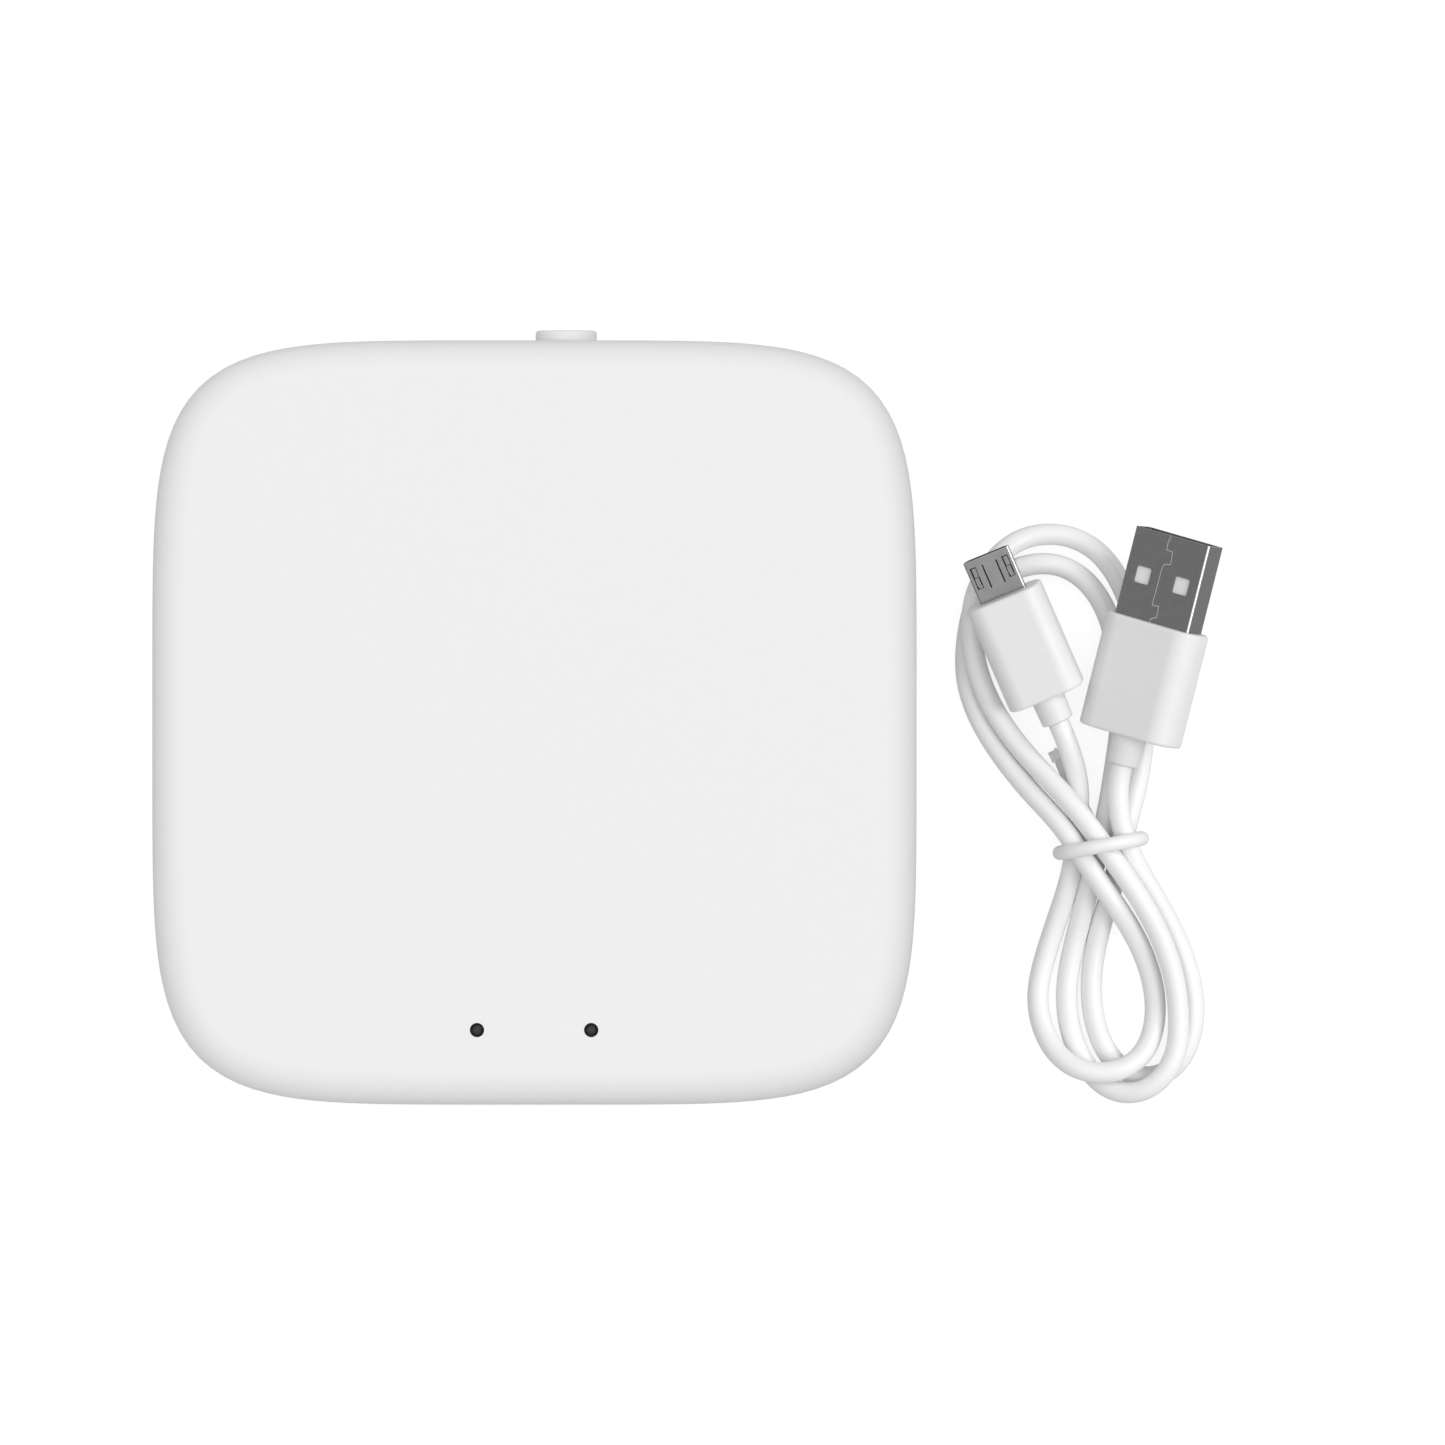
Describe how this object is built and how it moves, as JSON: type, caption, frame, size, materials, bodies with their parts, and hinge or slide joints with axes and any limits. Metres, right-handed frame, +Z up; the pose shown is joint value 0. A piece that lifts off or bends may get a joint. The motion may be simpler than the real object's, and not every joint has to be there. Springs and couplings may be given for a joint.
{
  "type": "smart home hub",
  "caption": "Flat white smart home hub with a soft square casing, indicators on top, a side button and power socket, and a detached white USB lead folded and tied beside it.",
  "frame": {"origin": "middle of the hub on the surface its feet stand on; the button's 1.5 mm beyond the back wall isn't counted", "axes": "+Z up, +Y towards the back wall with the button and the socket, +X towards the tied lead; the indicators are near the front, at -Y"},
  "size_m": [0.1506, 0.1087, 0.025],
  "materials": {
    "casing_white": "fine matte",
    "foot_rubber": "matte",
    "screw_steel": "nickel plated",
    "label_film": "satin film",
    "board_green": "solder mask",
    "board_blue": "solder mask",
    "lens_smoke": "smoked clear",
    "led_body": "moulded",
    "tinned_steel": "tinned",
    "copper_track": "gilded copper",
    "component_black": "moulded",
    "can_aluminium": "bright",
    "component_tan": "ceramic",
    "contact_gold": "gold plated",
    "cord_white": "smooth soft vinyl",
    "plug_steel": "nickel plated",
    "insert_white": "moulded"
  },
  "bodies": {
    "hub": {"top_cover": "casing_white", "base_shell": "casing_white", "foot_front_left": "foot_rubber", "foot_front_right": "foot_rubber", "foot_back_left": "foot_rubber", "foot_back_right": "foot_rubber", "case_screws": "screw_steel", "board_screws": "screw_steel", "rating_label": "label_film", "main_board": "board_green", "light_pipe_left": "lens_smoke", "light_pipe_right": "lens_smoke", "status_led_left": "led_body", "status_led_right": "led_body", "radio_module_board": "board_blue", "radio_shield_can": "tinned_steel", "radio_antenna": "copper_track", "mesh_module_board": "board_blue", "mesh_shield_can": "tinned_steel", "mesh_antenna": "copper_track", "voltage_regulator": "component_black", "power_inductor": "component_black", "filter_capacitor": "can_aluminium", "surface_parts": "component_tan", "socket_shell": "tinned_steel", "socket_tongue": "component_black", "socket_contacts": "contact_gold", "switch_housing": "component_black", "switch_frame": "tinned_steel"},
    "button": {"button_cap": "casing_white", "switch_plunger": "component_black"},
    "lead": {"lead_cord": "cord_white", "cord_tie": "cord_white", "micro_plug_shell": "plug_steel", "micro_plug_insert": "component_black", "micro_plug_contacts": "contact_gold", "micro_plug_latches": "plug_steel", "micro_plug_grip": "cord_white", "micro_plug_relief": "cord_white", "usb_a_shell": "plug_steel", "usb_a_insert": "insert_white", "usb_a_contacts": "contact_gold", "usb_a_grip": "cord_white", "usb_a_relief": "cord_white"}
  },
  "joints": [
    {"name": "button_press", "type": "slide", "parent": "hub", "child": "button", "axis": [0, -1, 0], "range_m": [0, 0.0005], "stiffness_N_per_m": 2000},
    {"name": "lead_lift", "type": "slide", "parent": "hub", "child": "lead", "axis": [0, 0, 1], "range_m": [0, 0.04]}
  ]
}
